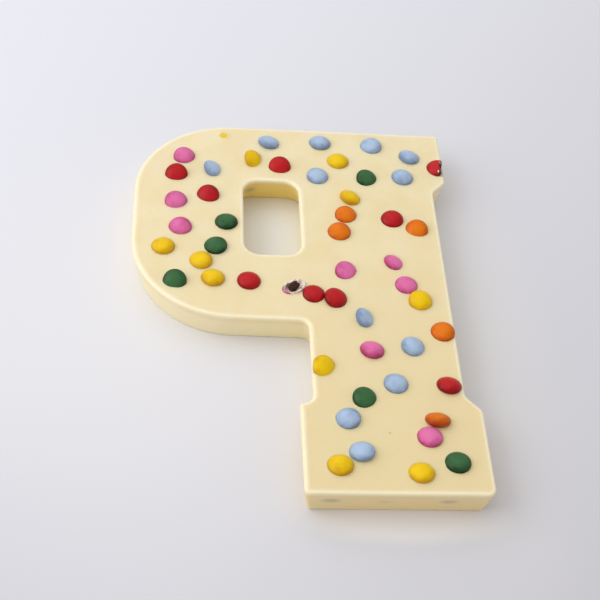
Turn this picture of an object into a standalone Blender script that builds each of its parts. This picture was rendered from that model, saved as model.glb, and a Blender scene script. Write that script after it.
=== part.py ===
"""A letter P of white chocolate, with candy-coated lentils pressed into its poured face.

The letter lies as it left its mould: the poured face is up, so it reads from its other side. Its walls
lean in towards the surface it lies on, and the same lean widens the hole in its bowl downwards. Lengths
are in millimetres here and turned to metres by MM. X runs across the letter, Y from its foot to its top.
"""

import math

import bmesh
import bpy
from mathutils import Matrix, Vector

MM = 0.001

# The letter
THICKNESS = 13.4
WALL_LEAN = 2.5
HOLE_LEAN = 3.9
RIM_RADIUS = 1.0
FLOOR_BEVEL = 0.5
LEAST_CORNER = 0.8
HALF_WIDTH = 63.9
HALF_HEIGHT = 92.25
STEM_LEFT = 3.2
STEM_RIGHT = 58.2
FOOT_LEFT = -1.7
FOOT_SLOPE = 0.5
BOWL_BOTTOM = -15.05
BOWL_SLOPE = 0.7
BOWL_RADIUS = 40.0
RIM_STEPS = 2
BOWL_STEPS = 16
CORNER_STEPS = 4

# Each corner is x, y, radius and steps, walked with the chocolate on the left.
OUTLINE = (
    (FOOT_LEFT, -HALF_HEIGHT, 2.0, CORNER_STEPS),
    (HALF_WIDTH, -HALF_HEIGHT + FOOT_SLOPE, 3.0, CORNER_STEPS),
    (HALF_WIDTH, -55.75, 3.5, CORNER_STEPS),
    (STEM_RIGHT, -49.25, 4.0, CORNER_STEPS),
    (STEM_RIGHT, 56.75, 4.0, CORNER_STEPS),
    (HALF_WIDTH, 62.75, 3.0, CORNER_STEPS),
    (HALF_WIDTH, HALF_HEIGHT, 1.4, CORNER_STEPS),
    (-HALF_WIDTH, HALF_HEIGHT, BOWL_RADIUS, BOWL_STEPS),
    (-HALF_WIDTH, BOWL_BOTTOM, BOWL_RADIUS, BOWL_STEPS),
    (STEM_LEFT, BOWL_BOTTOM - BOWL_SLOPE, 3.5, CORNER_STEPS),
    (STEM_LEFT, -53.15, 4.0, CORNER_STEPS),
    (FOOT_LEFT, -54.35, 1.5, CORNER_STEPS),
)
HOLE_LEFT = -20.2
HOLE_RIGHT = 2.2
HOLE_BOTTOM = 17.95
HOLE_TOP = 59.55
HOLE_RADIUS = 6.5
HOLE = (
    (HOLE_LEFT, HOLE_BOTTOM, HOLE_RADIUS, CORNER_STEPS),
    (HOLE_LEFT, HOLE_TOP, HOLE_RADIUS, CORNER_STEPS),
    (HOLE_RIGHT, HOLE_TOP, HOLE_RADIUS, CORNER_STEPS),
    (HOLE_RIGHT, HOLE_BOTTOM, HOLE_RADIUS, CORNER_STEPS),
)
CUT_PAST = 2.0

# The lentils
CANDY_SIZE = (4.6, 4.6, 2.4)
CANDY_SEGMENTS = 12
CANDY_RINGS = 6
GAP = 0.3
SHELL_WALL = 0.7

# Where each lentil lies: x, y, lean of its axis from upright and the way it leans, both in degrees,
# and how far its middle is above the poured face.
CANDIES = {
    "red": (
        (-5.0, 67.9, 28, 271, 0.2),
        (-47.4, 61.0, 32, 272, 0.2),
        (-34.5, 49.4, 27, 250, 0.1),
        (39.5, 39.3, 8, 259, 0.1),
        (-18.7, 3.2, 6, 40, 0.0),
        (6.0, -2.7, 10, 345, -0.3),
        (13.9, -4.8, 15, 347, 0.7),
        (52.7, -44.9, 20, 80, 0.0),
    ),
    "orange": (
        (20.9, 40.8, 15, 310, -0.1),
        (49.0, 34.0, 24, 249, 0.0),
        (17.5, 31.1, 7, 247, 0.2),
        (53.3, -19.7, 6, 198, 0.1),
        (46.8, -60.8, 36, 84, 0.4),
    ),
    "yellow": (
        (19.5, 72.8, 2, 180, 0.0),
        (-15.7, 71.7, 38, 347, 0.0),
        (23.4, 51.2, 26, 38, -0.1),
        (-51.7, 19.9, 5, 130, 0.0),
        (-37.2, 13.0, 11, 186, -0.1),
        (-32.4, 4.2, 11, 77, 0.1),
        (46.4, -4.6, 12, 290, 0.4),
        (11.0, -80.6, 11, 92, 0.0),
        (38.7, -83.0, 14, 98, -0.1),
        (-28.0, 86.2, 0, 0, -2.1),
    ),
    "green": (
        (31.0, 62.8, 20, 322, 0.0),
        (-27.2, 34.6, 9, 94, 0.1),
        (-31.4, 21.1, 9, 158, 0.2),
        (-46.8, 1.9, 32, 262, 0.1),
        (21.5, -51.8, 17, 320, 0.0),
        (51.8, -78.7, 7, 109, 0.1),
    ),
    "blue": (
        (12.6, 84.0, 10, 70, 0.1),
        (34.2, 83.1, 8, 220, 0.2),
        (-9.1, 83.0, 22, 54, 0.0),
        (50.2, 77.4, 18, 46, 0.0),
        (-32.4, 65.2, 35, 12, -0.2),
        (46.1, 64.5, 5, 20, 0.1),
        (10.5, 63.1, 7, 340, 0.1),
        (24.6, -14.0, 38, 4, -0.2),
        (41.4, -27.2, 13, 8, 0.0),
        (33.4, -44.9, 9, 28, 0.1),
        (14.9, -61.0, 11, 160, 0.1),
        (18.8, -74.9, 17, 115, 0.2),
    ),
    "pink": (
        (-44.3, 71.9, 18, 300, 0.0),
        (-47.2, 45.1, 25, 290, 0.0),
        (-45.3, 30.8, 12, 255, 0.0),
        (38.5, 15.8, 27, 27, -0.9),
        (18.9, 9.7, 22, 322, -0.1),
        (42.0, 3.4, 10, 325, -0.3),
        (26.0, -29.2, 17, 70, 0.0),
        (43.2, -68.1, 8, 95, 0.0),
    ),
}

# Three more lie at an edge or are broken. The mould's wall cut the first flush. The second was sheared off
# at the rim of the slab, where the cut slopes. The third is crushed narrow and has lost its top.
STEM_CANDY = (7.7, -37.9, 28, 320, 0.0)
STEM_CUT_X = 3.7
SERIF_CANDY = (61.3, 70.8, 14, 200, 0.2)
SERIF_CUT_PLACE = (62.75, 71.2, THICKNESS + 1)
SERIF_CUT_HEADING = -13.0
SERIF_CUT_TILT = 16.0
BROKEN_CANDY = (-1.7, 0.5, 16, 209, 0.6)
BROKEN_SIZE = (5.2, 3.1, 2.4)
BROKEN_AT = 0.2
BROKEN_TILT = 14.0
CRUMB_SIZE = (2.3, 1.7, 1.4)
CRUMB_RISE = 0.35

# Colours as a picture shows them, 0 to 255
COLOURS = {
    "chocolate": (236, 223, 178),
    "red": (178, 26, 38),
    "orange": (228, 112, 18),
    "yellow": (240, 196, 14),
    "green": (36, 98, 56),
    "blue": (140, 172, 214),
    "pink": (218, 88, 156),
    "cocoa": (64, 34, 22),
}
CHOCOLATE_ROUGHNESS = 0.45
CANDY_ROUGHNESS = 0.35


def clear_scene():
    for old in list(bpy.data.objects):
        bpy.data.objects.remove(old, do_unlink=True)


def new_collection(name):
    collection = bpy.data.collections.new(name)
    bpy.context.scene.collection.children.link(collection)
    return collection


def linear(value):
    """A picture's 0 to 255 value as the linear light that a material takes."""
    share = value / 255
    return share / 12.92 if share <= 0.04045 else ((share + 0.055) / 1.055) ** 2.4


def new_material(name, roughness):
    material = bpy.data.materials.new(name)
    material.use_nodes = True
    shader = material.node_tree.nodes["Principled BSDF"]
    shader.inputs["Base Color"].default_value = (*map(linear, COLOURS[name]), 1)
    shader.inputs["Roughness"].default_value = roughness
    shader.inputs["Metallic"].default_value = 0
    return material


def new_object(name, bm, collection, material=None):
    """Closes the mesh code's work: faces turned outwards, scaled to metres, linked."""
    bmesh.ops.recalc_face_normals(bm, faces=bm.faces)
    bmesh.ops.scale(bm, vec=(MM, MM, MM), verts=bm.verts)
    mesh = bpy.data.meshes.new(name)
    bm.to_mesh(mesh)
    bm.free()
    if material:
        mesh.materials.append(material)
    made = bpy.data.objects.new(name, mesh)
    collection.objects.link(made)
    return made


def as_cutter(made):
    made.hide_render = True
    made.display_type = "WIRE"
    return made


def ring(corners, inset, height):
    """The closed outline moved to its left by inset, with an arc at each corner, at one height.

    A corner moves along both its sides, and its arc then touches them: its centre is a radius from
    both. An arc that bulges away from the chocolate loses the inset from its radius.
    """
    points = []
    for index, (x, y, radius, steps) in enumerate(corners):
        corner = Vector((x, y))
        before = Vector(corners[index - 1][:2])
        after = Vector(corners[(index + 1) % len(corners)][:2])
        along = (corner - before).normalized()
        onward = (after - corner).normalized()
        left = Vector((-along.y, along.x))
        next_left = Vector((-onward.y, onward.x))
        bisector = (left + next_left) / (1 + left.dot(next_left))
        turn = along.cross(onward)
        side = 1 if turn > 0 else -1
        new_radius = max(radius - inset, LEAST_CORNER) if side > 0 else radius + inset / 2
        centre = corner + bisector * (inset + side * new_radius)
        start = math.atan2(-side * left.y, -side * left.x)
        sweep = math.atan2(turn, along.dot(onward))
        for step in range(steps + 1):
            angle = start + sweep * step / steps
            points.append((
                centre.x + new_radius * math.cos(angle),
                centre.y + new_radius * math.sin(angle),
                height,
            ))
    return points


def levels(lean):
    """(height, inset) pairs from the floor up: a small bevel, the leaning wall, then the round rim."""
    yield 0.0, lean + FLOOR_BEVEL
    yield FLOOR_BEVEL, lean
    for step in range(RIM_STEPS + 1):
        angle = math.pi / 2 * step / RIM_STEPS
        yield (THICKNESS - RIM_RADIUS * (1 - math.sin(angle)), RIM_RADIUS * (1 - math.cos(angle)))


def lofted(rings):
    """A solid through closed rings of equal length: the first one filled, then extruded to each other."""
    bm = bmesh.new()
    bottom = bm.faces.new([bm.verts.new(point) for point in rings[0]])
    top = bottom
    for points in rings[1:]:
        made = bmesh.ops.extrude_face_region(bm, geom=[top])["geom"]
        if top != bottom:
            bm.faces.remove(top)
        top = next(part for part in made if isinstance(part, bmesh.types.BMFace))
        for corner, point in zip(top.loops, points):
            corner.vert.co = point
    return bm


def placed(candy):
    """The matrix that puts a lentil at its place with its axis leaning its way."""
    x, y, lean, heading, rise = candy
    place = Matrix.Translation((x, y, THICKNESS + rise))
    return place @ Matrix.Rotation(math.radians(heading), 4, "Z") @ Matrix.Rotation(math.radians(lean), 4, "Y")


def lentil(candy, grow=0.0, size=CANDY_SIZE):
    """A squashed sphere at a lentil's place. A positive grow makes it larger all round."""
    bm = bmesh.new()
    bmesh.ops.create_uvsphere(bm, u_segments=CANDY_SEGMENTS, v_segments=CANDY_RINGS, radius=1)
    bmesh.ops.scale(bm, vec=[half + grow for half in size], verts=bm.verts)
    bmesh.ops.transform(bm, matrix=placed(candy), verts=bm.verts)
    return bm


def cut_away(bm, point, normal, closed=True):
    """Removes what lies on the normal's side of a plane, and fills the cut if closed."""
    geometry = bm.verts[:] + bm.edges[:] + bm.faces[:]
    cut = bmesh.ops.bisect_plane(bm, geom=geometry, plane_co=point, plane_no=normal, clear_outer=True)
    if closed:
        edges = [part for part in cut["geom_cut"] if isinstance(part, bmesh.types.BMEdge)]
        bmesh.ops.contextual_create(bm, geom=edges)


def shade_round(made):
    made.data.shade_smooth()
    made.data.set_sharp_from_angle(angle=math.radians(50))


def add_pocket(name, candy, cutters, size=CANDY_SIZE):
    as_cutter(new_object(name, lentil(candy, GAP, size), cutters))


def make_letter(collection, cutters, material):
    """The slab with its hole and the pockets that the lentils sit in."""
    slab = lofted([ring(OUTLINE, inset, height) for height, inset in levels(WALL_LEAN)])
    made = new_object("letter", slab, collection, material)
    hole_levels = [
        (-CUT_PAST, HOLE_LEAN + FLOOR_BEVEL), *levels(HOLE_LEAN), (THICKNESS + CUT_PAST, RIM_RADIUS)
    ]
    hole = lofted([ring(HOLE, inset, height) for height, inset in hole_levels])
    as_cutter(new_object("hole", hole, cutters))
    cut = made.modifiers.new("hole and pockets", "BOOLEAN")
    cut.operation = "DIFFERENCE"
    cut.solver = "EXACT"
    cut.operand_type = "COLLECTION"
    cut.collection = cutters


def make_candy(name, candy, collection, cutters, material):
    shade_round(new_object(name, lentil(candy), collection, material))
    add_pocket(f"pocket_{name}", candy, cutters)


def make_flush_candy(name, candy, cut_x, normal, collection, cutters, material):
    """A lentil whose side the mould's wall cut off flat."""
    bm = lentil(candy)
    cut_away(bm, (cut_x, 0, 0), normal)
    shade_round(new_object(name, bm, collection, material))
    add_pocket(f"pocket_{name}", candy, cutters)


def make_shell(name, candy, point, normal, collection, cutters, material, size=CANDY_SIZE):
    """The sugar coat of a broken lentil: an open skin with a wall turned inwards."""
    bm = lentil(candy, size=size)
    cut_away(bm, point, normal, closed=False)
    shell = new_object(name, bm, collection, material)
    wall = shell.modifiers.new("wall", "SOLIDIFY")
    wall.thickness = SHELL_WALL * MM
    wall.offset = -1
    shade_round(shell)
    add_pocket(f"pocket_{name}", candy, cutters, size)


def make_core(name, candy, point, normal, collection, material):
    """The chocolate inside a broken lentil, cut where its coat is."""
    bm = lentil(candy, -SHELL_WALL - GAP)
    cut_away(bm, point, normal)
    shade_round(new_object(name, bm, collection, material))


def make_crumb(name, candy, collection, material):
    """The lump left in the broken shell, uneven by waves round its axis."""
    bm = bmesh.new()
    bmesh.ops.create_uvsphere(bm, u_segments=CANDY_SEGMENTS, v_segments=CANDY_RINGS, radius=1)
    for vert in bm.verts:
        x, y, z = vert.co
        vert.co *= 1 + 0.10 * math.sin(3 * math.atan2(y, x) + 4 * z)
    bmesh.ops.scale(bm, vec=CRUMB_SIZE, verts=bm.verts)
    bmesh.ops.translate(bm, vec=(0, 0, CRUMB_RISE), verts=bm.verts)
    bmesh.ops.transform(bm, matrix=placed(candy), verts=bm.verts)
    shade_round(new_object(name, bm, collection, material))


def main():
    clear_scene()
    collection = new_collection("chocolate_letter")
    cutters = new_collection("cutters")
    materials = {name: new_material(name, CANDY_ROUGHNESS) for name in COLOURS}
    chocolate = new_material("chocolate", CHOCOLATE_ROUGHNESS)
    for colour, candies in CANDIES.items():
        for number, candy in enumerate(candies, 1):
            make_candy(f"candy_{colour}_{number}", candy, collection, cutters, materials[colour])
    make_flush_candy(
        "candy_yellow_stem", STEM_CANDY, STEM_CUT_X, (-1, 0, 0), collection, cutters, materials["yellow"]
    )
    heading = math.radians(SERIF_CUT_HEADING)
    slope = math.radians(SERIF_CUT_TILT)
    level = math.cos(slope)
    outwards = Vector((level * math.cos(heading), level * math.sin(heading), math.sin(slope)))
    make_shell("candy_red_serif", SERIF_CANDY, SERIF_CUT_PLACE, outwards, collection, cutters, materials["red"])
    make_core("core_red_serif", SERIF_CANDY, SERIF_CUT_PLACE, outwards, collection, materials["cocoa"])
    broken_place = placed(BROKEN_CANDY)
    tilt = math.radians(BROKEN_TILT)
    upwards = broken_place.to_3x3() @ Vector((-math.sin(tilt), 0, math.cos(tilt)))
    make_shell(
        "candy_pink_broken", BROKEN_CANDY, broken_place @ Vector((0, 0, BROKEN_AT)), upwards,
        collection, cutters, materials["pink"], BROKEN_SIZE,
    )
    make_crumb("core_pink_broken", BROKEN_CANDY, collection, materials["cocoa"])
    make_letter(collection, cutters, chocolate)


main()
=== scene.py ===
# %% [markdown]
# A chocolate letter with candy-coated lentils.
#
# The real thing is a slab of white chocolate, poured into a mould in the shape of a letter P and turned
# out again. It lies with its poured face up, so the letter reads from its other side. Coated lentils were
# dropped into the chocolate while it was soft, and each sits in it to about its waist.
#
# The solids in the frame already have the right sizes and places. This script gives them their looks: a
# fine slab with a rounded rim and a face that creeps up the lentils, smooth lentils with a satin coat, and
# the soft window light that shows both.

# %% Load the frame and keep its size
import math

import bmesh
import bpy
import numpy as np
from mathutils import Matrix, Vector
from mathutils.geometry import delaunay_2d_cdt


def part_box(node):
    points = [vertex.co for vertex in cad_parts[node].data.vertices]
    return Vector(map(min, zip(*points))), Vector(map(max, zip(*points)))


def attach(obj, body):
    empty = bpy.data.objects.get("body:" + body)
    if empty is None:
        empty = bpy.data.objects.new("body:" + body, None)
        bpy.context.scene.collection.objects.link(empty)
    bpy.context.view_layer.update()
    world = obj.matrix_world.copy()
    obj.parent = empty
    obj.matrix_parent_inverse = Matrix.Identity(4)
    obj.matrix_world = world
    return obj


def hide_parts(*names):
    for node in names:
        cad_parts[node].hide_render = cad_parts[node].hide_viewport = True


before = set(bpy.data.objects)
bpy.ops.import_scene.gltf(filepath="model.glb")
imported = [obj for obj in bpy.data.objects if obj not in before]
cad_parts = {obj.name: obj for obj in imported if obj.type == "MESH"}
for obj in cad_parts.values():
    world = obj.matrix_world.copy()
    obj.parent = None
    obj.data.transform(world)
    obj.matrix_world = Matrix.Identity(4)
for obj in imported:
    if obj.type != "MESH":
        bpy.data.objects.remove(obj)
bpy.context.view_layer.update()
MM = 0.001
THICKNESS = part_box("letter")[1].z

# %% [markdown]
# The camera. The picture was taken from in front of the foot and looks down at about 48 degrees. It is
# turned a little to the right and rolled by 8 degrees, which is why the stem leans in the picture although
# it is straight. The place and the angles were worked out from the letter's straight edges. A camera's
# matrix has its right, up and backward directions as columns, so these are made first.

# %% Camera
LENS_MM = 78.155
SENSOR_MM = 36.0
CAMERA_PLACE = Vector((-0.04779, -0.33314, 0.3619 + THICKNESS))
YAW, PITCH, ROLL = (math.radians(angle) for angle in (8.367, 47.556, 8.043))


def camera_matrix(place, yaw, pitch, roll):
    """Forward is turned by yaw from +Y and dipped by pitch; right and up then turn by roll about it."""
    forward = Vector((math.sin(yaw) * math.cos(pitch), math.cos(yaw) * math.cos(pitch), -math.sin(pitch)))
    level_right = Vector((math.cos(yaw), -math.sin(yaw), 0))
    level_up = level_right.cross(forward)
    right = math.cos(roll) * level_right + math.sin(roll) * level_up
    up = math.cos(roll) * level_up - math.sin(roll) * level_right
    turned = Matrix((right, up, -forward)).transposed().to_4x4()
    return Matrix.Translation(place) @ turned


lens = bpy.data.cameras.new("camera")
lens.lens = LENS_MM
lens.sensor_width = SENSOR_MM
lens.clip_start = 0.01
camera = bpy.data.objects.new("camera", lens)
camera.matrix_world = camera_matrix(CAMERA_PLACE, YAW, PITCH, ROLL)
bpy.context.scene.collection.objects.link(camera)
bpy.context.scene.camera = camera
print("camera", [round(value, 4) for value in CAMERA_PLACE])

# %% [markdown]
# Materials are written as sums. A small class wraps a node's output, and its operators add Math nodes, so
# that a mask can be written as an expression. Colours never go through Math nodes, which would turn them
# grey: they are mixed with Mix nodes. One method makes every other kind of node.

# %% A class for shader sums
def linear(red, green, blue):
    """A picture's 0 to 255 colour as the linear light that a shader takes."""
    shares = (value / 255 for value in (red, green, blue))
    return (*(s / 12.92 if s <= 0.04045 else ((s + 0.055) / 1.055) ** 2.4 for s in shares), 1.0)


class Signal:
    """A node's output that can be added, subtracted and multiplied."""

    def __init__(self, tree, socket):
        self.tree = tree
        self.socket = socket

    def math(self, operation, first, second):
        """A Math node on two values."""
        return self.tree.node("ShaderNodeMath", {"operation": operation}, [first, second])

    def __add__(self, other):
        return self.math("ADD", self, other)

    def __sub__(self, other):
        return self.math("SUBTRACT", self, other)

    def __rsub__(self, other):
        return self.math("SUBTRACT", other, self)

    def __mul__(self, other):
        return self.math("MULTIPLY", self, other)

    __radd__ = __add__
    __rmul__ = __mul__


class Tree:
    """A material's nodes, with its Principled shader ready."""

    def __init__(self, name):
        self.material = bpy.data.materials.new(name)
        self.material.use_nodes = True
        self.nodes = self.material.node_tree.nodes
        self.links = self.material.node_tree.links
        self.shader = self.nodes["Principled BSDF"]

    def node(self, kind, settings=None, inputs=(), output=0):
        """Makes a node: settings first, then its sockets by place or name, each a value or a Signal."""
        made = self.nodes.new(kind)
        for key, value in (settings or {}).items():
            setattr(made, key, value)
        pairs = inputs.items() if isinstance(inputs, dict) else enumerate(inputs)
        for key, value in pairs:
            self.feed(made.inputs[key], value)
        return Signal(self, made.outputs[output])

    def feed(self, socket, value):
        """Links a Signal to a socket, or sets the socket's own value."""
        if isinstance(value, Signal):
            self.links.new(value.socket, socket)
        else:
            socket.default_value = value

    def set(self, **values):
        """Sets the shader's sockets: base_color is the one named Base Color, and ior the one named IOR."""
        for key, value in values.items():
            socket = key.replace("_", " ").title().replace("Ior", "IOR")
            self.feed(self.shader.inputs[socket], value)

    def smooth(self, value, low, high):
        """0 below low, 1 above high, and an S-shaped ease between."""
        return self.node(
            "ShaderNodeMapRange", {"interpolation_type": "SMOOTHSTEP"},
            {"Value": value, "From Min": low, "From Max": high},
        )

    def split(self, place):
        """The x, y and z of a place."""
        return [self.node("ShaderNodeSeparateXYZ", {}, [place], output=number) for number in range(3)]

    def mix(self, factor, first, second):
        """A colour mix: first where the factor is 0, second where it is 1."""
        sockets = {0: factor, 6: first, 7: second}
        return self.node("ShaderNodeMix", {"data_type": "RGBA"}, sockets, output=2)

    def noise(self, place, per_metre, detail=2.0, roughness=0.5):
        """Soft noise from 0 to 1 whose lumps are 1 / per_metre apart."""
        inputs = {"Vector": place, "Scale": per_metre, "Detail": detail, "Roughness": roughness}
        return self.node("ShaderNodeTexNoise", {}, inputs)

    def attribute(self, name, output="Fac"):
        """A value that the mesh stores for each of its points."""
        return self.node("ShaderNodeAttribute", {"attribute_name": name}, (), output)

    def bump(self, height, distance, strength=1.0):
        """The shader's normal, tilted as if the surface rose by height times distance."""
        inputs = {"Strength": strength, "Distance": distance, "Height": height}
        self.set(normal=self.node("ShaderNodeBump", {}, inputs))


print("shader helpers ready")

# %% [markdown]
# A mesh from arrays. Every new surface below is worked out as a whole array of points, and these helpers
# put the arrays into Blender. A grid of points becomes quads by stepping through its rows and columns.

# %% Mesh helpers
def quads_of(rows, columns, first=0):
    """The quads between rings of points, numbered from first. The last column joins the first one."""
    row = np.arange(rows - 1)[:, None] * columns
    column = np.arange(columns)[None, :]
    beside = (column + 1) % columns
    corners = np.stack([row + column, row + beside, row + columns + beside, row + columns + column], -1)
    return corners.reshape(-1, 4) + first


def mesh_piece(name, points, faces, material):
    """One object at the origin with its place in its mesh, shaded smooth."""
    mesh = bpy.data.meshes.new(name)
    mesh.from_pydata(points.tolist(), [], [list(face) for face in faces])
    mesh.materials.append(material)
    mesh.validate()
    mesh.shade_smooth()
    piece = bpy.data.objects.new(name, mesh)
    bpy.context.scene.collection.objects.link(piece)
    return piece


def add_attribute(piece, name, kind, values):
    """Stores a value for each point: FLOAT takes one number and FLOAT_VECTOR three."""
    layer = piece.data.attributes.new(name, kind, "POINT")
    layer.data.foreach_set("value" if kind == "FLOAT" else "vector", np.asarray(values, float).ravel())


def turn_outwards(piece, merge=0.0):
    """Joins points that are nearer than merge, turns the faces outwards and counts the open edges."""
    bm = bmesh.new()
    bm.from_mesh(piece.data)
    if merge:
        bmesh.ops.remove_doubles(bm, verts=bm.verts, dist=merge)
    bmesh.ops.recalc_face_normals(bm, faces=bm.faces)
    open_edges = sum(not edge.is_manifold for edge in bm.edges)
    bm.to_mesh(piece.data)
    bm.free()
    piece.data.shade_smooth()
    return open_edges


def triangles(piece):
    """How many triangles the piece's faces come to."""
    return sum(len(face.vertices) - 2 for face in piece.data.polygons)


print("mesh helpers ready")

# %% [markdown]
# Where the lentils are. Each one is a solid in the frame, a squashed sphere that leans its own way. Its
# middle is the mean of its points, and its short axis is the direction in which its points spread least.
# That is an eigenvector of the points' spread, so no list of places is needed here.

# %% Read the lentils from the frame
BROKEN = ("candy_pink_broken", "candy_red_serif")
CUT_FLUSH = ("candy_yellow_stem",)
COLOURS = ("red", "orange", "yellow", "green", "blue", "pink")


def node_points(node):
    """All of a CAD node's points as an array."""
    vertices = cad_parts[node].data.vertices
    points = np.empty(len(vertices) * 3)
    vertices.foreach_get("co", points)
    return np.unique(np.round(points.reshape(-1, 3), 7), axis=0)


def lie_of(node):
    """A whole lentil's middle and three axes, the last one its short axis turned upwards."""
    points = node_points(node)
    middle = (points.max(0) + points.min(0)) / 2
    _, axes = np.linalg.eigh(np.cov((points - middle).T))
    short = axes[:, 0] * np.sign(axes[2, 0])
    side = np.cross(short, (1.0, 0.0, 0.0))
    side /= np.linalg.norm(side)
    return middle, np.stack([np.cross(side, short), side, short])


lentils = {
    node: lie_of(node)
    for node in sorted(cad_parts)
    if node.startswith("candy_") and node not in BROKEN + CUT_FLUSH
}
print(len(lentils), "whole lentils")

# %% [markdown]
# The slab's outline. Each corner is a place and a radius in millimetres, walked with the chocolate on the
# left, so that one function can move the whole outline inwards. Every ring of it has the same number of
# points, because the numbers come from the unmoved outline. Two rings then join with plain quads.

# %% Outline of the letter
HALF_WIDTH, HALF_HEIGHT, TOP = (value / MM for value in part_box("letter")[1])
WALL_LEAN = 2.5
HOLE_LEAN = 3.9
RIM_RADIUS = 1.0
FLOOR_BEVEL = 0.5
LEAST_CORNER = 0.8
SPACING = 0.6
STEM_LEFT, STEM_RIGHT = 3.2, 58.2
FOOT_LEFT, FOOT_SLOPE = -1.7, 0.5
BOWL_BOTTOM, BOWL_SLOPE, BOWL_RADIUS = -15.05, 0.7, 40.0
OUTLINE = np.array([
    (FOOT_LEFT, -HALF_HEIGHT, 2.0),
    (HALF_WIDTH, -HALF_HEIGHT + FOOT_SLOPE, 3.0),
    (HALF_WIDTH, -55.75, 3.5),
    (STEM_RIGHT, -49.25, 4.0),
    (STEM_RIGHT, 56.75, 4.0),
    (HALF_WIDTH, 62.75, 3.0),
    (HALF_WIDTH, HALF_HEIGHT, 1.4),
    (-HALF_WIDTH, HALF_HEIGHT, BOWL_RADIUS),
    (-HALF_WIDTH, BOWL_BOTTOM, BOWL_RADIUS),
    (STEM_LEFT, BOWL_BOTTOM - BOWL_SLOPE, 3.5),
    (STEM_LEFT, -53.15, 4.0),
    (FOOT_LEFT, -54.35, 1.5),
])
HOLE_LEFT, HOLE_RIGHT, HOLE_BOTTOM, HOLE_TOP, HOLE_RADIUS = -20.2, 2.2, 17.95, 59.55, 6.5
HOLE = np.array([
    (HOLE_LEFT, HOLE_BOTTOM, HOLE_RADIUS),
    (HOLE_LEFT, HOLE_TOP, HOLE_RADIUS),
    (HOLE_RIGHT, HOLE_TOP, HOLE_RADIUS),
    (HOLE_RIGHT, HOLE_BOTTOM, HOLE_RADIUS),
])


def lengths(vectors):
    """The length of each vector."""
    return np.linalg.norm(vectors, axis=-1)


def directions(angle):
    """Unit (x, y) vectors at the given angles."""
    return np.stack([np.cos(angle), np.sin(angle)], -1)


def outline(corners, inset):
    """The closed outline moved to its left by inset, as (x, y) points about SPACING apart.

    A corner moves along the sum of its two sides' left directions. Its arc touches both sides, so its
    centre is a radius from each. An arc that bulges out loses the inset from its radius, and a hollow
    one gains half of it. Straight runs are filled in between the arcs.
    """
    place, radius = corners[:, :2], corners[:, 2]
    along = place - np.roll(place, 1, 0)
    along /= lengths(along)[:, None]
    onward = np.roll(along, -1, 0)
    left, next_left = (np.stack([-way[:, 1], way[:, 0]], -1) for way in (along, onward))
    sweep = np.arctan2(along[:, 0] * onward[:, 1] - along[:, 1] * onward[:, 0], (along * onward).sum(1))
    side = np.sign(sweep)
    moved = np.where(side > 0, np.maximum(radius - inset, LEAST_CORNER), radius + inset / 2)
    bisector = (left + next_left) / (1 + (left * next_left).sum(1))[:, None]
    centre = place + bisector * (inset + side * moved)[:, None]
    start = np.arctan2(-side * left[:, 1], -side * left[:, 0])
    steps = np.maximum(6, radius * np.abs(sweep) / SPACING).astype(int)
    tangent = radius * np.abs(np.tan(sweep / 2))
    run = lengths(np.roll(place, -1, 0) - place) - tangent - np.roll(tangent, -1)
    arcs = [
        centre[i] + moved[i] * directions(start[i] + sweep[i] * np.linspace(0, 1, steps[i] + 1))
        for i in range(len(corners))
    ]
    runs = [
        np.linspace(arcs[i][-1], arcs[(i + 1) % len(arcs)][0], max(2, int(run[i] / SPACING)))[1:-1]
        for i in range(len(corners))
    ]
    return np.concatenate([part for pair in zip(arcs, runs) for part in pair])


print("outline", len(outline(OUTLINE, 0)), "points, hole", len(outline(HOLE, 0)), "points")

# %% [markdown]
# The walls. A ring of points is carried up through a list of heights and insets: a small round at the
# floor, the leaning wall, and the quarter round of the rim. A mould has to let go of its letter, so the
# chocolate is narrowest at the floor: the outer walls lean outwards as they rise, and the hole gets
# narrower, because the mould's block for it tapered towards its top.

# %% Walls and rim
WALL_ROWS = 12
BEVEL_ROWS = 4
RIM_ROWS = 9


def profile(lean):
    """(height, inset) rows from the floor to the face."""
    turn = np.linspace(0, math.pi / 2, BEVEL_ROWS)[:, None]
    bevel = np.hstack([FLOOR_BEVEL * (1 - np.cos(turn)), lean + FLOOR_BEVEL * (1 - np.sin(turn))])
    share = np.linspace(0, 1, WALL_ROWS)[1:-1, None]
    wall = np.hstack([FLOOR_BEVEL + share * (TOP - RIM_RADIUS - FLOOR_BEVEL), lean * (1 - share)])
    turn = np.linspace(0, math.pi / 2, RIM_ROWS)[:, None]
    rim = np.hstack([TOP - RIM_RADIUS * (1 - np.sin(turn)), RIM_RADIUS * (1 - np.cos(turn))])
    return np.concatenate([bevel, wall, rim])


def at_height(points, height):
    """Flat points as (x, y, height)."""
    return np.c_[points, np.full(len(points), height)]


def walls(corners, lean):
    """The wall's points, row above row, and its quads."""
    rows = profile(lean)
    rings = [at_height(outline(corners, inset), height) for height, inset in rows]
    return np.concatenate(rings), quads_of(len(rows), len(rings[0]))


outer_wall, outer_quads = walls(OUTLINE, WALL_LEAN)
hole_wall, hole_quads = walls(HOLE, HOLE_LEAN)
print("walls", len(outer_quads) + len(hole_quads), "quads")

# %% [markdown]
# Lentils as formulas. Each lentil is the set of points p with (p - c) A (p - c) = 1, where A holds its
# radius along two axes and its half thickness along the short one. The same A gives three things: the
# ellipse in which the chocolate's face cuts the lentil, how far a point is from that ellipse, and how high
# the lentil's underside is above any point. The slab's face is shaped by the last two.

# %% Lentils as formulas
LENTIL_SIZE = np.array([4.6, 4.6, 2.4])
CRUSHED_SIZE = np.array([5.2, 3.1, 2.4])
STEM_CANDY = (7.7, -37.9, 28, 320, 0.0)
SERIF_CANDY = (61.3, 70.8, 14, 200, 0.2)
BROKEN_CANDY = (-1.7, 0.5, 16, 209, 0.6)


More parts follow.
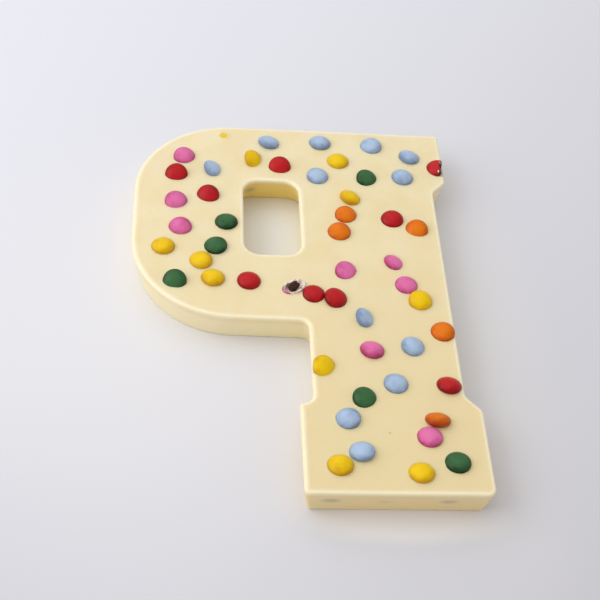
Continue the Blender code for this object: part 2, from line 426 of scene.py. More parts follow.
def placed(x, y, lean, heading, rise):
    """Middle in metres and axes of a lentil whose short axis leans towards heading, rise above the face."""
    lean, heading = math.radians(lean), math.radians(heading)
    downhill = np.array([math.cos(heading), math.sin(heading), 0])
    up = np.array([0, 0, 1.0])
    short = math.sin(lean) * downhill + math.cos(lean) * up
    first = math.cos(lean) * downhill - math.sin(lean) * up
    return np.array([x, y, TOP + rise]) * MM, np.stack([first, np.cross(short, first), short])


lentils["candy_yellow_stem"] = placed(*STEM_CANDY)
sunk_in = [*lentils.values(), placed(*SERIF_CANDY), placed(*BROKEN_CANDY)]
MIDDLES = np.array([middle for middle, axes in sunk_in]) / MM
AXES = np.array([axes for middle, axes in sunk_in])
SIZES = np.array([LENTIL_SIZE] * (len(sunk_in) - 1) + [CRUSHED_SIZE])
FORMS = np.einsum("kai,ka,kaj->kij", AXES, SIZES**-2, AXES)
FLAT = FORMS[:, :2, :2]
DEPTH = TOP - MIDDLES[:, 2]
SHIFT = -np.linalg.solve(FLAT, (FORMS[:, :2, 2] * DEPTH[:, None])[..., None])[..., 0]
SECTION_MIDDLE = MIDDLES[:, :2] + SHIFT
SECTION_SIZE = 1 - FORMS[:, 2, 2] * DEPTH**2 + np.einsum("ki,kij,kj->k", SHIFT, FLAT, SHIFT)


def shares(points):
    """For each point and lentil: 0 at the middle of the lentil's cut by the face, 1 on the cut's edge."""
    away = points[:, None, :2] - SECTION_MIDDLE
    return np.sqrt(np.einsum("nki,kij,nkj->nk", away, FLAT, away) / SECTION_SIZE)


def depths(points):
    """Heights of each lentil's lower and upper surface above each point, or not-a-number beside it."""
    away = points[:, None, :2] - MIDDLES[:, :2]
    middle = np.einsum("nki,ki->nk", away, FORMS[:, :2, 2])
    rest = np.einsum("nki,kij,nkj->nk", away, FLAT, away) - 1
    inside = middle**2 - FORMS[:, 2, 2] * rest
    root = np.sqrt(np.where(inside > 0, inside, np.nan))
    low, high = ((-middle + sign * root) / FORMS[:, 2, 2] + MIDDLES[:, 2] for sign in (-1, 1))
    return low, high


print(len(sunk_in), "lentils sit in the face")

# %% [markdown]
# The face. The chocolate was still soft when the lentils went in, so it is fine and smooth beside them:
# it creeps up each one by a fifth of a millimetre, and it lies in low waves between them. The points are
# rings round each lentil, a few rings inside the rim and a loose grid over the rest, and a Delaunay
# triangulation joins them. Below a lentil the face dips just under the lentil's lower side.

# %% Face of the slab
GRID = 1.3
RIM_RINGS = (1.25, 1.6, 2.1, 2.8, 3.7)
LIP_HEIGHT, LIP_INSET, LIP_WIDTH = 0.10, 2.0, 0.7
CREEP_HEIGHT, CREEP_WIDTH = 0.22, 0.55
CLEARANCE = 0.03
WAVE_HEIGHT, RIPPLE_HEIGHT = 0.045, 0.02
RING_SHARES = (0, 0.35, 0.6, 0.78, 0.9, 0.96, 0.985, 1.0, 1.015, 1.035, 1.065, 1.11, 1.17, 1.25, 1.36, 1.5)
RING_POINTS = 44
RING_GAP, RIM_GAP = 0.08, 0.1


def inside(polygon, points):
    """True for points inside a closed polygon: a ray from each crosses its sides an odd number of times."""
    x, y = points[:, :1], points[:, 1:2]
    x0, y0 = polygon.T
    x1, y1 = np.roll(polygon, -1, 0).T
    crosses = (y0 > y) != (y1 > y)
    where = x0 + (y - y0) * (x1 - x0) / np.where(y1 == y0, 1, y1 - y0)
    return (crosses & (x < where)).sum(1) % 2 == 1


def on_slab(points, inset):
    """True for points that are at least inset inside both outlines, which are taken with fewer points."""
    coarse = 3
    around, hole = outline(OUTLINE, inset)[::coarse], outline(HOLE, inset)[::coarse]
    return inside(around, points) & ~inside(hole, points)


def waves(points):
    """Low waves in millimetres: sums of sines whose crests cross each other at odd angles."""
    x, y = points[:, 0], points[:, 1]
    wide = np.sin(x / 9.1 + y / 17.0 + 0.4) + np.sin(y / 11.3 - x / 23.0 + 2.1) + np.sin(x / 15.7 - y / 8.3)
    fine = np.sin(x / 2.9 + y / 3.7) * np.sin(y / 3.1 - x / 5.3 + 1.3)
    return WAVE_HEIGHT * wide + RIPPLE_HEIGHT * fine


def rings_round_lentils():
    """Rings at RING_SHARES of each lentil's cut, kept where that lentil is the nearest one."""
    turn = np.linspace(0, 2 * math.pi, RING_POINTS, endpoint=False)
    sizes, ways = np.linalg.eigh(FLAT / SECTION_SIZE[:, None, None])
    half_axes = ways / np.sqrt(sizes)[:, None, :]
    circle = np.array(RING_SHARES)[:, None, None] * directions(turn)
    points = SECTION_MIDDLE[:, None, None] + np.einsum("kij,rtj->krti", half_axes, circle)
    owner = np.broadcast_to(np.arange(len(MIDDLES))[:, None, None], points.shape[:3]).ravel()
    points = points.reshape(-1, 2)
    own = shares(points)
    nearest = own[np.arange(len(points)), owner] <= own.min(1) + 1e-6
    return np.unique(np.round(points[nearest], 5), axis=0)


def grid_points(step, shift=0.0):
    """A square grid over the letter's box, with each second row moved along by shift."""
    x, y = np.meshgrid(np.arange(-HALF_WIDTH, HALF_WIDTH, step), np.arange(-HALF_HEIGHT, HALF_HEIGHT, step))
    x = x + shift * (np.arange(len(x)) % 2)[:, None]
    return np.c_[x.ravel(), y.ravel()]


def open_face():
    """A loose grid, each second row half a step along, and rings inside the rim."""
    grid = grid_points(GRID, GRID / 2)
    grid = grid[on_slab(grid, RIM_RINGS[-1] + GRID / 2)]
    rings = [outline(corners, inset) for corners in (OUTLINE, HOLE) for inset in RIM_RINGS]
    points = np.concatenate([grid, *rings])
    return points[shares(points).min(1) > RING_SHARES[-1] + RING_GAP]


def face_height(points, inset):
    """How high the face is at each point, with the lip near the rim, the creep and the dips."""
    lip = LIP_HEIGHT * np.exp(-(((inset - LIP_INSET) / LIP_WIDTH) ** 2))
    share = shares(points)
    nearest = np.sqrt(SECTION_SIZE / np.linalg.det(FLAT) ** 0.5)
    gap = np.maximum(share - 1, 0) * nearest
    creep = CREEP_HEIGHT * np.exp(-gap / CREEP_WIDTH).max(1)
    height = TOP + waves(points) + lip + creep
    low, high = depths(points)
    under = np.where(high > height[:, None], low - CLEARANCE, np.nan)
    return np.fmin(height, np.nanmin(np.c_[under, height], 1))


def triangulated(loops, loose):
    """Triangles between an outer and an inner closed loop of points, with loose points between them."""
    points = np.concatenate([*loops, loose])
    edges, first = [], 0
    for loop in loops:
        place = np.arange(len(loop))
        edges.append(np.c_[place, (place + 1) % len(loop)] + first)
        first += len(loop)
    inside_loops = 1
    places, _, faces, *_ = delaunay_2d_cdt(
        [Vector(point) for point in points], np.concatenate(edges).tolist(), [], inside_loops, 1e-5
    )
    places, faces = np.array(places), np.array(faces)
    return places, faces[~inside(loops[1], places[faces].mean(1))]


rims = [outline(OUTLINE, RIM_RADIUS), outline(HOLE, RIM_RADIUS)]
around_lentils = rings_round_lentils()
around_lentils = around_lentils[on_slab(around_lentils, RIM_RADIUS + RIM_GAP)]
face_points, face_triangles = triangulated(rims, np.concatenate([open_face(), around_lentils]))
print("face", len(face_triangles), "triangles")

# %% [markdown]
# The underside lay against the mould, so it is flat and smooth. The four surfaces share their edge points,
# which a merge joins into one closed solid. The face then gets its height. Three numbers are kept for each
# point, so that the material knows the rim, the hole and the chocolate right beside a lentil.

# %% Slab in one piece
UNDERSIDE_GRID, UNDERSIDE_MARGIN = 5.0, 2.0
MERGE = 0.004
CHUNK = 2000
RIM_MIDDLE, RIM_WIDTH = 0.8, 0.7
BESIDE_WIDTH = 0.4
HOLE_MIDDLE = np.array([HOLE_LEFT + HOLE_RIGHT, HOLE_BOTTOM + HOLE_TOP]) / 2
HOLE_MARGIN = 1.5
HOLE_REACH = np.array([HOLE_RIGHT - HOLE_LEFT, HOLE_TOP - HOLE_BOTTOM]) / 2 + HOLE_LEAN + HOLE_MARGIN


def underside():
    """Points and triangles between the floor ring and the hole's floor ring."""
    loops = [outline(OUTLINE, WALL_LEAN + FLOOR_BEVEL), outline(HOLE, HOLE_LEAN + FLOOR_BEVEL)]
    grid = grid_points(UNDERSIDE_GRID)
    return triangulated(loops, grid[on_slab(grid, WALL_LEAN + FLOOR_BEVEL + UNDERSIDE_MARGIN)])


def inset_of_face(points):
    """How far inside the rim each point is: its distance from the nearest side of the two outlines.

    The points are taken a chunk at a time, so that the array of all distances stays small.
    """
    nearest = np.full(len(points), np.inf)
    for corners in (OUTLINE, HOLE):
        begin = outline(corners, 0)
        side = np.roll(begin, -1, 0) - begin
        square = np.maximum((side**2).sum(1), 1e-12)
        for start in range(0, len(points), CHUNK):
            chunk = slice(start, start + CHUNK)
            away = points[chunk, None] - begin
            along = np.clip((away * side).sum(-1) / square, 0, 1)
            far = lengths(away - along[..., None] * side).min(1)
            nearest[chunk] = np.minimum(nearest[chunk], far)
    return nearest


def make_slab(material):
    """The two walls, the face and the underside as one closed piece."""
    under_points, under_faces = underside()
    parts = [outer_wall, hole_wall, at_height(face_points, TOP), at_height(under_points, 0)]
    starts = np.cumsum([0] + [len(part) for part in parts])
    faces = [
        *(outer_quads + starts[0]).tolist(),
        *(hole_quads + starts[1]).tolist(),
        *(face_triangles + starts[2]).tolist(),
        *(under_faces[:, ::-1] + starts[3]).tolist(),
    ]
    piece = mesh_piece("chocolate_slab", np.concatenate(parts) * MM, faces, material)
    open_edges = turn_outwards(piece, MERGE * MM)
    print("slab", triangles(piece), "triangles,", open_edges, "open edges")
    return piece


def raise_face(piece):
    """Gives the flat face and its rim their heights, and stores rim, hole and beside for each point."""
    points = np.empty(len(piece.data.vertices) * 3)
    piece.data.vertices.foreach_get("co", points)
    points = points.reshape(-1, 3) / MM
    upper = points[:, 2] > TOP - RIM_RADIUS - 1e-3
    inset = inset_of_face(points[upper, :2])
    change = face_height(points[upper], inset) - TOP
    points[upper, 2] += change * np.clip((points[upper, 2] - TOP + RIM_RADIUS) / RIM_RADIUS, 0, 1)
    piece.data.vertices.foreach_set("co", (points * MM).ravel())
    piece.data.update()
    edge = np.zeros(len(points))
    edge[upper] = np.exp(-(((inset - RIM_MIDDLE) / RIM_WIDTH) ** 2))
    in_hole = (np.abs(points[:, :2] - HOLE_MIDDLE) < HOLE_REACH).all(1)
    add_attribute(piece, "rim", "FLOAT", edge)
    add_attribute(piece, "hole", "FLOAT", in_hole)
    add_attribute(piece, "beside", "FLOAT", np.clip((shares(points).min(1) - 1) / BESIDE_WIDTH, 0, 1))


# %% [markdown]
# White chocolate. It is cream-coloured and lets light a few millimetres into itself, which softens the
# shadows beside the lentils and warms the thin rims. Its face has a faint cloudy mottle and a few pinholes
# where air came out. Shade and light are also painted into its colour. The walls get painted shade,
# because they see less of the window, paler on the walls beyond the foot. The hole, the pinholes, the
# chocolate right beside each lentil and the near right, away from the window, get painted shade too.
# The rim gets a painted highlight.
#
# Then come single marks. Blue-grey spots on the walls are lentils just under the skin. A yellow lentil at
# the top is sunk so deep that only a thin film of chocolate covers it, and a brown speck lies by the foot.

# %% White chocolate
# The first two colours are the chocolate's own. The others are painted shade, and the last is a painted
# highlight for the rim.
CREAM, BUTTER, CHOCOLATE_SHADE = linear(243, 229, 190), linear(240, 223, 177), linear(244, 218, 156)
WINDOW_FALLOFF_SHADE, PALER_WALL_SHADE = linear(235, 216, 166), linear(255, 240, 196)
HOLE_WALL_SHADE, RIM_HIGHLIGHT = linear(250, 221, 120), linear(255, 247, 222)
ROUND = (1, 1, 1)
CHOCOLATE_MARKS = (
    ((7.7, -91.3, 8.0), 3.0, 2.1, (1, 1, 1.9), 0.42, (120, 140, 150)),
    ((26.2, -91.3, 7.1), 2.4, 1.68, (1, 1, 1.9), 0.16, (120, 140, 150)),
    ((48.1, -91.3, 7.8), 2.8, 1.96, (1, 1, 1.9), 0.38, (120, 140, 150)),
    ((-17.2, 61.4, 6.6), 2.0, 1.4, (1, 1, 1.1), 0.50, (120, 140, 150)),
    ((-28.0, 86.2, TOP), 1.7, 0.9, ROUND, 0.6, (248, 208, 76)),
    ((29.2, -66.6, TOP), 0.5, 0.35, ROUND, 0.45, (206, 156, 84)),
)


def mask_round(tree, place, middle, radius, soft, squeeze):
    """1 within a radius of a middle and 0 outside it, with a soft edge, squeezed along each axis."""
    away = tree.node("ShaderNodeVectorMath", {"operation": "SUBTRACT"}, [place, middle])
    away = tree.node("ShaderNodeVectorMath", {"operation": "MULTIPLY"}, [away, squeeze])
    far = tree.node("ShaderNodeVectorMath", {"operation": "LENGTH"}, [away], output=1)
    return 1 - tree.smooth(far, radius - soft, radius + soft)


def marked(tree, place, colour, marks):
    """Soft marks on a colour: middle, radius and soft edge in millimetres, squeeze, strength and colour."""
    for middle, radius, soft, squeeze, strength, over in marks:
        centre = [value * MM for value in middle]
        mask = mask_round(tree, place, centre, radius * MM, soft * MM, squeeze)
        colour = tree.mix(mask * strength, colour, linear(*over))
    return colour


def layered(tree, colour, layers):
    """One colour over another: each layer is a mask, its strength and its colour."""
    for mask, strength, over in layers:
        colour = tree.mix(mask * strength, colour, over)
    return colour


def below_face(tree, height, low, high):
    """1 on the walls and 0 on the face, with an ease between two depths below the face."""
    return 1 - tree.smooth(height, (TOP - low) * MM, (TOP - high) * MM)


def make_chocolate():
    """Cream, with painted shade on the walls, in the hole, by the lentils, in the pits and away from the
    window, a painted rim highlight, and the marks.
    """
    tree = Tree("white_chocolate")
    place = tree.node("ShaderNodeTexCoord", output=3)
    across, along, height = tree.split(place)
    cloud, speck = tree.noise(place, 70, 3), tree.noise(place, 900, 2)
    pits = tree.smooth(tree.noise(place, 520, 1), 0.70, 0.78)
    # Painted shade on the walls: deep on the walls by the foot, and paler on the walls beyond it, which get
    # more light.
    wall_shade = tree.mix(tree.smooth(along, -0.07, -0.03), CHOCOLATE_SHADE, PALER_WALL_SHADE)
    colour = tree.mix(tree.smooth(cloud, 0.35, 0.7), CREAM, BUTTER)
    colour = layered(tree, colour, [
        # Painted shade: the colour darkens towards the near right, away from the window.
        (tree.smooth(0.5 * across - along, -0.06, 0.11), 0.85, WINDOW_FALLOFF_SHADE),
        # Painted shade on the walls, below the face.
        (below_face(tree, height, 5, 0.8), 0.7, wall_shade),
        # Painted shade right beside each lentil, where the chocolate meets it.
        (1 - tree.attribute("beside"), 0.25, CHOCOLATE_SHADE),
        # Painted shade on the hole's walls, deep and golden.
        (tree.attribute("hole") * below_face(tree, height, 3, 0.6), 0.9, HOLE_WALL_SHADE),
        # Painted highlight along the rim.
        (tree.attribute("rim"), 0.75, RIM_HIGHLIGHT),
    ])
    colour = marked(tree, place, colour, CHOCOLATE_MARKS)
    # The pinholes are painted deeper, as painted shade in them.
    tree.set(
        base_color=tree.mix(pits * 0.35, colour, CHOCOLATE_SHADE), roughness=0.40 + 0.10 * speck,
        subsurface_weight=0.35, subsurface_scale=0.003, subsurface_radius=(1.0, 0.65, 0.30),
        coat_weight=0.10, coat_roughness=0.3,
    )
    tree.bump(0.6 * cloud + 0.15 * speck - 0.5 * pits, 0.0002, 0.5)
    return tree.material


slab = make_slab(make_chocolate())
raise_face(slab)
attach(slab, "root")
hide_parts("letter")

# %% [markdown]
# Whole lentils. A lentil is a sphere squashed along its short axis. No two are quite alike, so each has
# its own shallow swell of about one part in a hundred. All lentils of a colour are one piece. Each point
# keeps its direction in its own lentil, so that the mottle goes with the lentil, and one number for each
# lentil makes some paler than others.

# %% Whole lentils
ROWS, COLUMNS = 24, 48
STEM_CUT_X = 3.7
TEXTURE_STEP = 5.0
SLOW_SWELL, QUICK_SWELL = 0.010, 0.005


def sphere_directions():
    """Unit vectors in rings from one pole to the other, with each pole once."""
    rise = np.linspace(-math.pi / 2, math.pi / 2, ROWS + 2)[1:-1, None, None]
    around = directions(np.linspace(0, 2 * math.pi, COLUMNS, endpoint=False))
    flat = np.broadcast_to(np.cos(rise) * around, (ROWS, COLUMNS, 2))
    body = np.concatenate([flat, np.broadcast_to(np.sin(rise), (ROWS, COLUMNS, 1))], -1).reshape(-1, 3)
    return np.concatenate([[(0, 0, -1)], body, [(0, 0, 1)]])


def sphere_faces():
    """Quads between the rings and a fan of triangles at each pole."""
    column = np.arange(COLUMNS)
    beside = (column + 1) % COLUMNS
    last = ROWS * COLUMNS + 1
    south = np.c_[0 * column, beside + 1, column + 1]
    north = np.c_[0 * column + last, column + last - COLUMNS, beside + last - COLUMNS]
    return [*quads_of(ROWS, COLUMNS, first=1).tolist(), *south.tolist(), *north.tolist()]


def swell(ways, seed):
    """A factor near 1 for each direction: a slow and a quicker sine along chance axes."""
    chance = np.random.default_rng(seed)
    axes = chance.normal(size=(2, 3))
    axes /= lengths(axes)[:, None]
    phase = chance.uniform(0, 2 * math.pi, 2)
    slow = np.sin(2.3 * ways @ axes[0] + phase[0])
    quick = np.sin(5.1 * ways @ axes[1] + phase[1])
    return 1 + SLOW_SWELL * slow + QUICK_SWELL * quick


def lentil_piece(colour, material):
    """All whole lentils of a colour as one piece: each point is its direction times size, swell and axes.

    Each point also stores its direction, its lentil's tone and how near the lentil's crown it is.
    """
    nodes = [node for node in lentils if node.split("_")[1] == colour]
    ways, faces = sphere_directions(), sphere_faces()
    points, places, tones, all_faces = [], [], [], []
    chance = np.random.default_rng(len(colour))
    for number, node in enumerate(nodes):
        middle, axes = lentils[node]
        swollen = swell(ways, 7 * number + len(colour))[:, None]
        shaped = middle + (ways * LENTIL_SIZE * MM * swollen) @ axes
        if node in CUT_FLUSH:
            shaped[:, 0] = np.maximum(shaped[:, 0], STEM_CUT_X * MM)
        points.append(shaped)
        places.append(ways + TEXTURE_STEP * number)
        tones.append(np.full(len(ways), chance.uniform()))
        all_faces += [[corner + number * len(ways) for corner in face] for face in faces]
    piece = mesh_piece(f"lentils_{colour}", np.concatenate(points), all_faces, material)
    add_attribute(piece, "way", "FLOAT_VECTOR", np.concatenate(places))
    add_attribute(piece, "tone", "FLOAT", np.concatenate(tones))
    # The crown value drives the painted light at the top of each coat and the painted shade at its sides.
    add_attribute(piece, "crown", "FLOAT", np.tile(np.clip(ways[:, 2], 0, 1), len(nodes)))
    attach(piece, "root")
    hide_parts(*nodes)
    print(piece.name, len(nodes), "lentils,", triangles(piece), "triangles")


# %% [markdown]
# The sugar coat. It is polished with a little wax, so it has a satin shine with a soft edge. The colour
# is sprayed on over white, which shows as a fine mottle, with paler blotches where the coat is thin. Each
# lentil is also painted palest at its crown, as painted light, and deepest at its sides, as painted shade.

# %% Sugar coats
# Each coat has a pale and a deep colour. The pale one is also the crown's painted light, and the deep one
# the sides' painted shade.
COATS = {
    "red": (linear(192, 22, 30), linear(126, 0, 4)),
    "orange": (linear(234, 122, 0), linear(176, 66, 0)),
    "yellow": (linear(243, 204, 0), linear(202, 150, 0)),
    "green": (linear(58, 106, 62), linear(4, 44, 12)),
    "blue": (linear(176, 199, 229), linear(118, 139, 172)),
    "pink": (linear(232, 118, 178), linear(168, 50, 100)),
}


def coat_colour(tree, colour):
    """The mottled colour of one coat, with painted light at the crown, painted shade at the sides and
    deeper blotches, and the mottle.
    """
    pale, deep = COATS[colour]
    way = tree.attribute("way", "Vector")
    tone, crown = tree.attribute("tone"), tree.attribute("crown")
    blotch = tree.noise(way, 1.3, 2)
    mottle = tree.noise(way, 9.0, 3, 0.6)
    # The crown term is painted light at the top and painted shade at the sides. Blotch, mottle and tone are
    # the coat's own.
    deep_by_blotch_and_shade = 0.6 * blotch + 0.25 * mottle + 0.12 * tone - 0.5 * crown
    return tree.mix(tree.smooth(deep_by_blotch_and_shade, -0.08, 0.58), pale, deep), mottle


def make_coat(colour):
    """The satin material of one colour, a little duller where the mottle is deep."""
    tree = Tree(f"sugar_coat_{colour}")
    colours, mottle = coat_colour(tree, colour)
    tree.set(
        base_color=colours, roughness=0.22 + 0.14 * mottle, ior=1.28, specular_ior_level=0.5,
        coat_weight=0.02, coat_roughness=0.2, subsurface_weight=0.06, subsurface_scale=0.001,
    )
    tree.bump(mottle, 0.00006, 0.5)
    return tree.material


for colour in COLOURS:
    lentil_piece(colour, make_coat(colour))

# %% [markdown]
# Broken lentils. The coat is a thin shell, coloured outside and bare within, with a ragged edge. A plane
# cuts it. In the sphere that the lentil was squashed from, that plane is a plane too, so each ring of the
# shell is a circle round the plane's normal there. The rings run from the pole to the edge outside, over
# the edge, and back to the pole inside.
#
# The red one at the serif was sheared at the letter's edge. Its dark filling reaches up to the cut, and
# two white chips show on its coat. The pink one was crushed. Its coat is bare beside the edge, and a lump
# of filling with a shallow groove across it lies in the coat.

# %% Broken lentils
SHELL_WALL = 0.7
SERIF_CUT_PLACE = np.array([62.75, 71.2, TOP + 1]) * MM
SERIF_CUT_HEADING = math.radians(-13.0)
SERIF_CUT_TILT = math.radians(16.0)
BROKEN_AT = 0.2
BROKEN_TILT = math.radians(14.0)
OUTER_ROWS, INNER_ROWS, CORE_ROWS = 22, 18, 20
CORE_GAP = 0.05
RAGGED = 0.22
BARE_FROM, BARE_EASE = 0.80, 0.08
DOWNHILL_FROM, DOWNHILL_EASE = 0.45, 0.2
SERIF_CHIPS = (
    ((62.3, 72.3, TOP + 2.1), 0.60, 0.16, ROUND, 1, (252, 246, 240)),
    ((61.6, 67.7, TOP + 1.7), 0.50, 0.16, ROUND, 1, (252, 246, 240)),
)
LUMP_SIZE = np.array([2.3, 1.7, 1.4])
LUMP_RISE = 0.35
LOBE_HEIGHT, KNOB_HEIGHT, GROOVE_DEPTH = 0.10, 0.05, 0.20


def cut_rings(middle, axes, size, point, normal, rows, ragged):
    """Rings on a lentil from the pole away from a cutting plane up to that plane.

    The unit sphere becomes the lentil by p = middle + (u * size) axes, so the plane's normal n is
    w = size * (axes n) in the sphere, and u . w reaches its limit at the plane. Three sines of the turn
    round w make that limit ragged.
    """
    turned = size * (axes @ normal)
    reach = np.linalg.norm(turned)
    pole = turned / reach
    limit = (point - middle) @ normal / reach
    helper = np.array([0.0, 0.0, 1.0]) if abs(pole[2]) < 0.9 else np.array([1.0, 0.0, 0.0])
    first = np.cross(pole, helper)
    first /= np.linalg.norm(first)
    second = np.cross(pole, first)
    around = directions(np.linspace(0, 2 * math.pi, COLUMNS, endpoint=False))
    turn = np.arctan2(around[:, 1], around[:, 0])
    rough = ragged * (np.sin(5 * turn + 1) + 0.6 * np.sin(9 * turn) + 0.4 * np.sin(17 * turn + 2)) / reach
    end = np.arccos(np.clip(-(limit + rough), -1, 1))
    share = np.linspace(0.02, 1, rows)[:, None]
    angle = share * end
    ring = around[:, :1] * first + around[:, 1:] * second
    ways = -np.cos(angle)[..., None] * pole + np.sin(angle)[..., None] * ring
    return middle + (ways * size) @ axes, ways


def joined(rows_of_points):
    """The faces of one closed mesh from rings: quads between them and a face over each end ring."""
    rows, columns = rows_of_points.shape[:2]
    ends = [list(range(columns))[::-1], list(range((rows - 1) * columns, rows * columns))]
    return [*quads_of(rows, columns).tolist(), *ends]


def chipped(ways, size):
    """How bare the outside of a coat is: only a crushed one is, beside its edge and not downhill."""
    by_edge = np.clip((np.linspace(0, 1, len(ways)) - BARE_FROM) / BARE_EASE, 0, 1)[:, None]
    downhill = np.clip((ways[-1, :, 0] - DOWNHILL_FROM) / DOWNHILL_EASE, 0, 1)
    return by_edge * (1 - downhill) * (size[1] < LENTIL_SIZE[1])


def shell_piece(name, candy, size, point, normal, material):
    """The coat of a broken lentil: rings up its outside to the cut, then down its inside, a wall apart."""
    middle, axes = placed(*candy)
    cut = (point, normal)
    outer, outer_ways = cut_rings(middle, axes, size * MM, *cut, OUTER_ROWS, RAGGED * MM)
    inner, inner_ways = cut_rings(middle, axes, (size - SHELL_WALL) * MM, *cut, INNER_ROWS, RAGGED * MM)
    rings, ways = np.concatenate([outer, inner[::-1]]), np.concatenate([outer_ways, inner_ways[::-1]])
    bare = np.concatenate([chipped(outer_ways, size), np.ones((len(inner), COLUMNS))])
    piece = mesh_piece(name, rings.reshape(-1, 3), joined(rings), material)
    turn_outwards(piece)
    add_attribute(piece, "bare", "FLOAT", bare.ravel())
    # The crown value drives the painted light at the top of the shell and the painted shade at its sides.
    add_attribute(piece, "crown", "FLOAT", ways[..., 2].clip(0, 1).ravel())
    add_attribute(piece, "way", "FLOAT_VECTOR", ways)
    add_attribute(piece, "tone", "FLOAT", np.full(bare.size, 0.5))
    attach(piece, "root")
    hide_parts(name.replace("broken_", "candy_"))
    print(name, triangles(piece), "triangles")


def make_broken_coat(colour, inside, smear, chips=()):
    """The coloured coat outside, the sugar inside with smears of filling, and chips where it is bare."""
    tree = Tree(f"broken_coat_{colour}")
    place = tree.node("ShaderNodeTexCoord", output=3)
    colours, mottle = coat_colour(tree, colour)
    bare = tree.smooth(tree.attribute("bare") + 0.15 * mottle, 0.45, 0.6)
    streaks = tree.smooth(tree.noise(place, 620, 3), 0.50, 0.60)
    colours = tree.mix(bare, colours, tree.mix(streaks * smear, linear(*inside), linear(120, 84, 66)))
    colours = marked(tree, place, colours, chips)
    tree.set(base_color=colours, roughness=0.45 + 0.3 * bare, specular_ior_level=0.25)
    tree.bump(mottle, 0.0001, 0.6)
    return tree.material


def make_cocoa():
    """Crumbly dark filling: coarse grain, dull, with hardly any shine."""
    tree = Tree("dark_chocolate")
    place = tree.node("ShaderNodeTexCoord", output=3)
    grain = tree.noise(place, 1100, 4, 0.65)
    colour = tree.mix(grain, linear(40, 18, 12), linear(84, 48, 33))
    tree.set(base_color=colour, roughness=0.65 + 0.2 * grain, specular_ior_level=0.25)
    tree.bump(grain, 0.0004, 0.9)
    return tree.material


def lump_reach(ways):
    """How far the lump of filling reaches each way: three lobes, small knobs and a groove on its top."""
    turn = np.arctan2(ways[:, 1], ways[:, 0])
    lobes = np.sin(3 * turn + 4 * ways[:, 2])
    knobs = np.sin(11 * ways[:, 0] + 7 * ways[:, 1]) * np.sin(9 * ways[:, 2] + 5 * ways[:, 0])
    groove = np.exp(-(((ways[:, 0] - 0.3) / 0.16) ** 2)) * np.clip(ways[:, 2], 0, 1)
    return 1 + LOBE_HEIGHT * lobes + KNOB_HEIGHT * knobs - GROOVE_DEPTH * groove


def lump_piece(name, points, faces, material):
    """A lump of filling, standing in for the core of the same name."""
    piece = mesh_piece(name, points, faces, material)
    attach(piece, "root")
    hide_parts(name.replace("lump_", "core_"))
    print(name, triangles(piece), "triangles")


level = math.cos(SERIF_CUT_TILT)
outwards = np.array([
    level * math.cos(SERIF_CUT_HEADING), level * math.sin(SERIF_CUT_HEADING), math.sin(SERIF_CUT_TILT)
])
cocoa = make_cocoa()
red_coat = make_broken_coat("red", (112, 88, 78), 0.6, SERIF_CHIPS)
pink_coat = make_broken_coat("pink", (250, 236, 228), 0.5)
shell_piece("broken_red_serif", SERIF_CANDY, LENTIL_SIZE, SERIF_CUT_PLACE, outwards, red_coat)
broken_middle, broken_axes = placed(*BROKEN_CANDY)
broken_point = broken_middle + BROKEN_AT * MM * broken_axes[2]
upwards = math.cos(BROKEN_TILT) * broken_axes[2] - math.sin(BROKEN_TILT) * broken_axes[0]
shell_piece("broken_pink_broken", BROKEN_CANDY, CRUSHED_SIZE, broken_point, upwards, pink_coat)

core_middle, core_axes = placed(*SERIF_CANDY)
core_size = (LENTIL_SIZE - SHELL_WALL - CORE_GAP) * MM
core, _ = cut_rings(core_middle, core_axes, core_size, SERIF_CUT_PLACE, outwards, CORE_ROWS, 0)
lump_piece("lump_red_serif", core.reshape(-1, 3), joined(core), cocoa)

ways = sphere_directions()
lump = ways * LUMP_SIZE * lump_reach(ways)[:, None] + (0, 0, LUMP_RISE)
lump_piece("lump_pink_broken", broken_middle + lump * MM @ broken_axes, sphere_faces(), cocoa)

# %% [markdown]
# The floor and the light aren't part of the object. A large window stands at the left and a wider, softer
# light comes from above and behind, so that the shadows fall to the right with soft edges. The room adds an
# even, slightly warm light. The floor is pale and a little blue. Painted shade makes it darker towards the
# right and the near side, most of all in the picture's near corners, and a broad painted pool of light
# brightens it on the window's side. Its other paler patches are painted light that the chocolate throws
# back on it: in the hole, before the foot and beside the stem.

# %% Stage and light
WINDOW = ((-1.00, -0.12, 0.72), (1.1, 1.0), 5.6)
CEILING = ((-0.40, 0.38, 0.95), (1.6, 1.6), 4.6)
ROOM_COLOUR, ROOM_STRENGTH = (1.0, 0.975, 0.94, 1), 0.62
FLOOR_LIT, FLOOR_SHADE = linear(230, 232, 242), linear(208, 208, 216)
FLOOR_HALF = 3.0
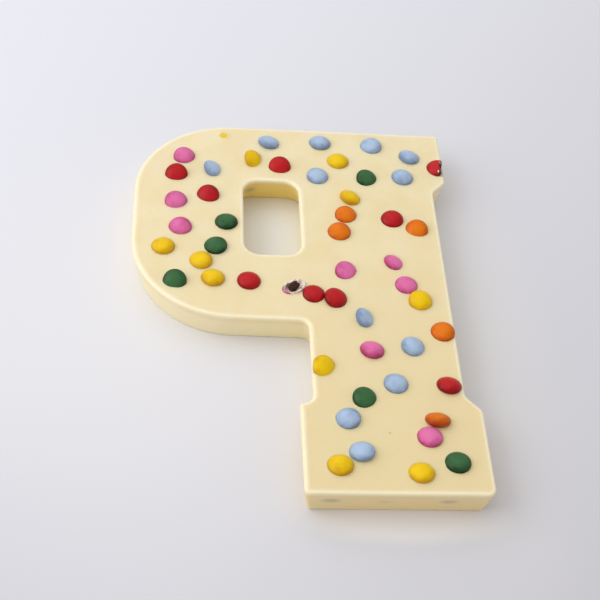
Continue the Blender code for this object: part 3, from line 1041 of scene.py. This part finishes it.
# Painted shade darkens the two near corners. The other marks are painted light: a broad pool on the
# window's side, and light thrown back by the chocolate in the hole, before the foot and beside the stem.
FLOOR_LIGHT_AND_SHADE = (
    ((-130, -140, 0), 50, 60, ROUND, 0.8, (208, 210, 219)),
    ((130, -160, 0), 50, 50, ROUND, 0.6, (198, 198, 206)),
    ((-50, -20, 0), 60, 90, ROUND, 0.55, (242, 241, 244)),
    ((-7, 36, 0), 24, 14, (1.3, 0.8, 1), 0.85, (238, 241, 244)),
    ((34, -94, 0), 24, 10, (0.8, 3.0, 1), 0.6, (240, 238, 240)),
    ((74, -10, 0), 50, 50, (3.0, 0.6, 1), 0.2, (244, 238, 230)),
)


def area_light(name, place, size, watts):
    """A rectangular light that points at the letter's middle."""
    lamp = bpy.data.lights.new(name, "AREA")
    lamp.shape = "RECTANGLE"
    lamp.size, lamp.size_y = size
    lamp.energy = watts
    made = bpy.data.objects.new(name, lamp)
    aim = (-Vector(place)).to_track_quat("-Z", "Y")
    made.matrix_world = Matrix.Translation(place) @ aim.to_matrix().to_4x4()
    bpy.context.scene.collection.objects.link(made)


def make_floor_paint():
    """Painted light on the window's side and painted shade away from it, with the painted marks of light
    and shade over that.
    """
    tree = Tree("pale_floor")
    place = tree.node("ShaderNodeTexCoord", output=3)
    across, along, _ = tree.split(place)
    colour = tree.mix(tree.smooth(across - along, -0.30, 0.34), FLOOR_LIT, FLOOR_SHADE)
    tree.set(base_color=marked(tree, place, colour, FLOOR_LIGHT_AND_SHADE), roughness=0.9)
    return tree.material


area_light("window", *WINDOW)
area_light("ceiling", *CEILING)
world = bpy.data.worlds.new("room")
bpy.context.scene.world = world
world.use_nodes = True
room = world.node_tree.nodes["Background"].inputs
room["Color"].default_value = ROOM_COLOUR
room["Strength"].default_value = ROOM_STRENGTH
bpy.context.scene.view_settings.view_transform = "Standard"
corners = np.array([(-1, -1, 0), (1, -1, 0), (1, 1, 0), (-1, 1, 0)]) * FLOOR_HALF
floor = mesh_piece("floor", corners, [(0, 1, 2, 3)], make_floor_paint())
print("floor and light ready")
